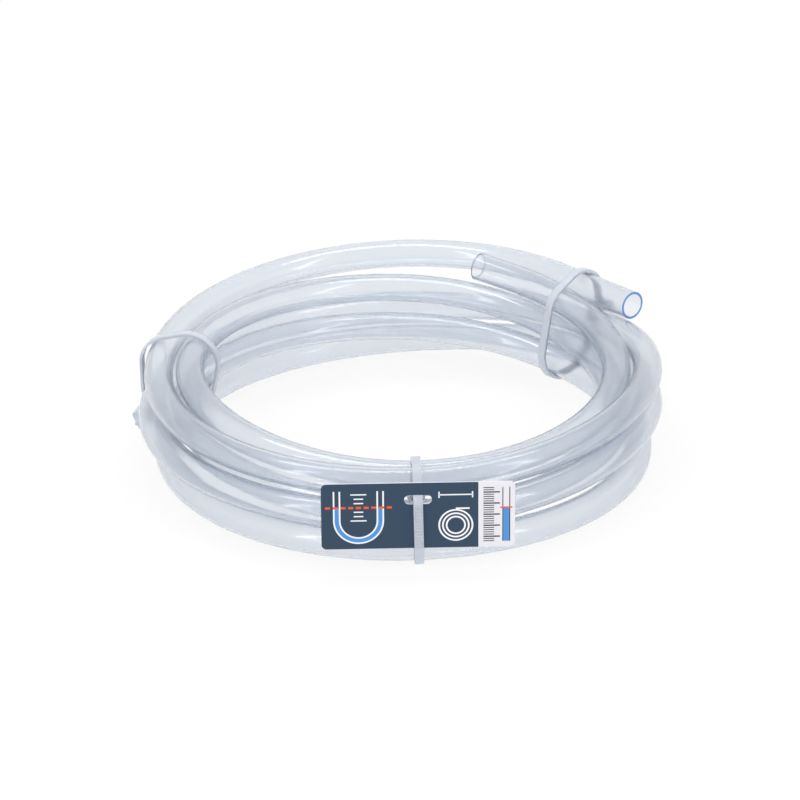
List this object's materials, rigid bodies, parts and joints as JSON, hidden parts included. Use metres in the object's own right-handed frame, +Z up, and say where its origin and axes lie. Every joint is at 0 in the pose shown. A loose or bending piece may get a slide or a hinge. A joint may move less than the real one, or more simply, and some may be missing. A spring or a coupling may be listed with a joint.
{
  "type": "water level hose tool",
  "caption": "Coil of clear soft hose for levelling with water, held by nylon cable ties, with a slotted card label on the front tie and both cut ends open.",
  "frame": {"origin": "middle of the part's outline on the surface that it lies on", "axes": "+Z up, along the coil's axis; -Y towards the label; +X right as seen from the label"},
  "size_m": [0.213, 0.227, 0.0494],
  "materials": {
    "clear_pvc": "clear soft PVC, smooth, faint blue tint",
    "nylon": "natural nylon, slightly translucent",
    "card": "stiff printed card"
  },
  "bodies": {
    "coil": {"hose": "clear_pvc", "front_tie": "nylon", "left_tie": "nylon", "right_tie": "nylon"},
    "card": {"label": "card"}
  },
  "joints": [
    {"name": "label_slide", "type": "slide", "parent": "coil", "child": "card", "axis": [0.9997, 0.0175, -0.0175], "range_m": [-0.0015, 0.0015]}
  ]
}
